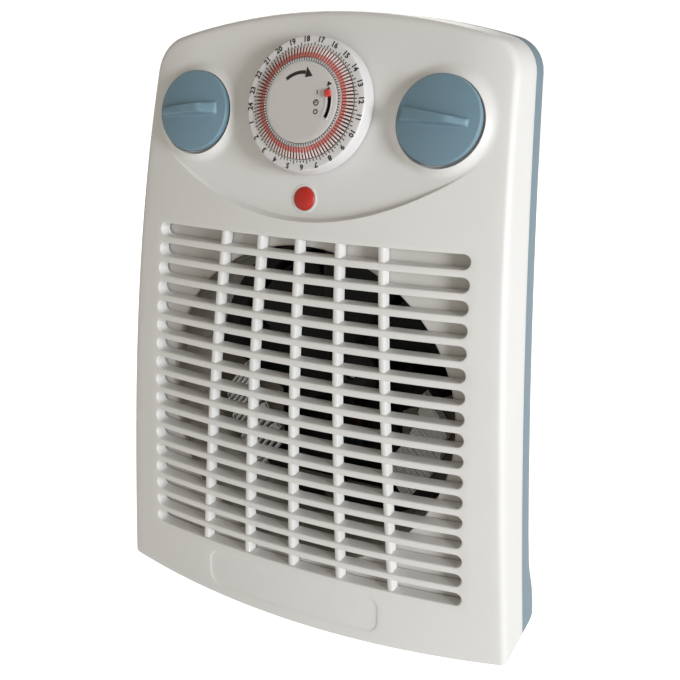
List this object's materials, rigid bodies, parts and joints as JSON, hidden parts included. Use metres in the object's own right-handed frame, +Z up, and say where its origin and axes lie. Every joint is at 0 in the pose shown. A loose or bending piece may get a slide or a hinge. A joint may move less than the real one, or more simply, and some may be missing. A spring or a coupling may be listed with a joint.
{
  "type": "fan convector heater",
  "caption": "Upright portable fan heater with a bowed slatted grille, rotary controls, a day timer dial with tappets, a pilot light and a vented rear shell.",
  "frame": {"origin": "on the floor, under the middle of the bounding box", "axes": "+Z up, +X to the right of the heater seen from the front, +Y from the grille towards the back"},
  "size_m": [0.257, 0.1321, 0.3496],
  "materials": {
    "white_shell": "satin warm white moulding",
    "blue_shell": "satin grey-blue moulding",
    "zinc_screw": "zinc plated",
    "black_plastic": "matt black",
    "rubber": "matt",
    "duct_plastic": "matt beige",
    "filter_foam": "open-cell foam",
    "fan_black": "satin black",
    "shaft_steel": "ground",
    "lamination": "varnished sheet stack",
    "copper_wire": "enamelled wire",
    "bearing_brass": "sintered bronze",
    "mica": "pressed mica",
    "nichrome": "bright ribbon",
    "phenolic": "moulded phenolic",
    "knob_blue": "satin grey-blue",
    "nylon": "natural nylon",
    "timer_white": "satin white, printed figures",
    "tappet_red": "satin red",
    "timer_grey": "satin light grey",
    "switch_red": "satin red",
    "red_lens": "clear red lens",
    "lamp_glass": "small neon lamp"
  },
  "bodies": {
    "housing": {"front_shell": "white_shell", "rear_shell": "blue_shell", "screw_top_left": "zinc_screw", "screw_top_right": "zinc_screw", "screw_bottom_left": "zinc_screw", "screw_bottom_right": "zinc_screw", "cable_gland": "black_plastic", "foot_front_left": "rubber", "foot_front_right": "rubber", "foot_rear_left": "rubber", "foot_rear_right": "rubber", "air_duct": "duct_plastic", "fan_shroud": "black_plastic", "dust_filter": "filter_foam", "motor_stator": "lamination", "motor_winding": "copper_wire", "motor_bearing_front": "bearing_brass", "motor_bearing_rear": "bearing_brass", "mica_board_left": "mica", "mica_board_right": "mica", "cutout_strap": "mica", "heating_ribbon_left": "nichrome", "heating_ribbon_right": "nichrome", "thermal_cutout": "phenolic", "selector_switch": "phenolic", "thermostat_switch": "phenolic", "timer_centre": "timer_grey", "timer_body": "nylon", "pilot_lens": "red_lens", "pilot_lamp": "lamp_glass", "terminal_block": "nylon"},
    "selector": {"selector_knob": "knob_blue", "selector_shaft": "nylon"},
    "thermostat": {"thermostat_knob": "knob_blue", "thermostat_shaft": "nylon"},
    "dial": {"timer_dial": "timer_white", "timer_tappets": "tappet_red"},
    "dial_pinion": {"timer_pinion": "nylon"},
    "override_switch": {"timer_switch": "switch_red"},
    "fan": {"fan_impeller": "fan_black", "fan_shaft": "shaft_steel", "motor_rotor": "lamination"}
  },
  "joints": [
    {"name": "selector_turn", "type": "hinge", "parent": "housing", "child": "selector", "pos_m": [-0.0732, -0.0341, 0.2967], "axis": [0, 0.9721, -0.2344], "range_deg": [0, 180]},
    {"name": "thermostat_turn", "type": "hinge", "parent": "housing", "child": "thermostat", "pos_m": [0.0732, -0.0341, 0.2967], "axis": [0, 0.9721, -0.2344], "range_deg": [0, 270]},
    {"name": "dial_turn", "type": "hinge", "parent": "housing", "child": "dial", "pos_m": [0, -0.03295, 0.3014], "axis": [0, 0.9705, -0.241], "continuous": true},
    {"name": "pinion_turn", "type": "hinge", "parent": "housing", "child": "dial_pinion", "pos_m": [0, -0.04061, 0.27056], "axis": [0, 0.9705, -0.241], "continuous": true},
    {"name": "override_turn", "type": "hinge", "parent": "housing", "child": "override_switch", "pos_m": [0, -0.03295, 0.3014], "axis": [0, 0.9705, -0.241], "range_deg": [0, 40]},
    {"name": "fan_turn", "type": "hinge", "parent": "housing", "child": "fan", "pos_m": [0, 0.02, 0.137], "axis": [0, 1, 0], "continuous": true}
  ],
  "couplings": [
    {"joint": "pinion_turn", "follows": "dial_turn", "ratio": -7}
  ]
}
